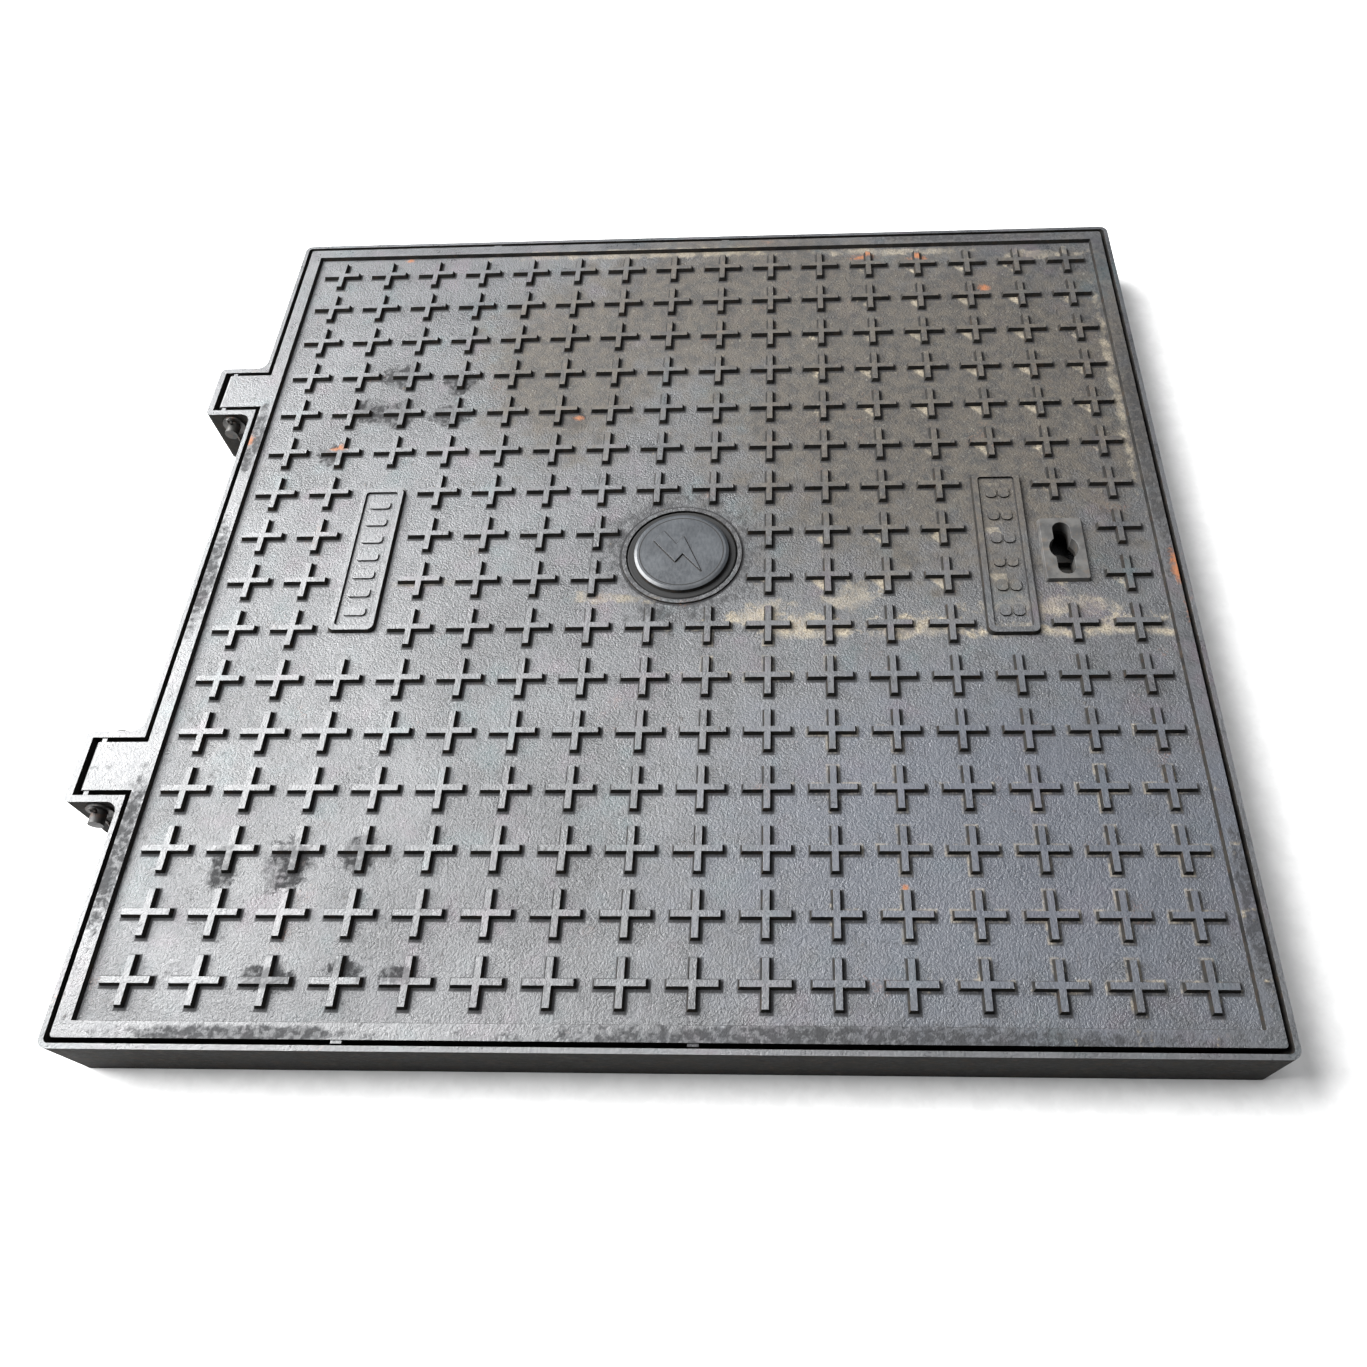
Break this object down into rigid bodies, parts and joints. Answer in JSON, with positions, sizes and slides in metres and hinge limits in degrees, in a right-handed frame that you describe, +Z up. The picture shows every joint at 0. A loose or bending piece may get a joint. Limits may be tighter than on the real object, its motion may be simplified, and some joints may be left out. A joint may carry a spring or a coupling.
{
  "type": "manhole cover",
  "caption": "Square hinged cast-iron manhole cover in a shallow frame, with a cross-pattern tread, a round service badge and a key-operated cam lock.",
  "frame": {"origin": "centre of the clear opening at the underside of the frame's base flange", "axes": "+Z up; -X is the hinge side and +X the lock side; -Y is the front"},
  "size_m": [0.926, 0.88, 0.0629],
  "materials": {
    "cast_iron": "rough sand-cast, dark bitumen coat, satin sheen",
    "badge_enamel": "smooth satin grey-blue paint",
    "dark_steel": "dark painted, satin",
    "zinc_steel": "dull zinc plate",
    "rubber": "matte black"
  },
  "bodies": {
    "frame": {"frame": "cast_iron", "seat_gasket": "rubber", "hinge_pin_front": "zinc_steel", "hinge_washer_front": "zinc_steel", "split_pin_front": "zinc_steel", "hinge_pin_rear": "zinc_steel", "hinge_washer_rear": "zinc_steel", "split_pin_rear": "zinc_steel", "lock_keeper": "dark_steel", "keeper_bolts": "zinc_steel"},
    "cover": {"cover": "cast_iron", "service_badge": "badge_enamel", "badge_seal": "rubber", "badge_clamp_bar": "zinc_steel", "badge_washer": "zinc_steel", "badge_nut": "zinc_steel", "keyhole_plate": "dark_steel", "keyhole_clamp_plate": "zinc_steel", "keyhole_screws": "zinc_steel", "lock_cup": "cast_iron", "lock_cup_screws": "zinc_steel"},
    "lock": {"lock_spindle": "zinc_steel", "lock_washer": "zinc_steel", "lock_spring": "zinc_steel", "lock_cam": "dark_steel", "lock_nut": "zinc_steel"}
  },
  "joints": [
    {"name": "cover_hinge", "type": "hinge", "parent": "frame", "child": "cover", "pos_m": [-0.462, 0, 0.046], "axis": [0, -1, 0], "range_deg": [0, 100]},
    {"name": "lock_turn", "type": "hinge", "parent": "cover", "child": "lock", "pos_m": [0.338, 0, 0.02], "axis": [0, 0, -1], "range_deg": [0, 90]}
  ]
}
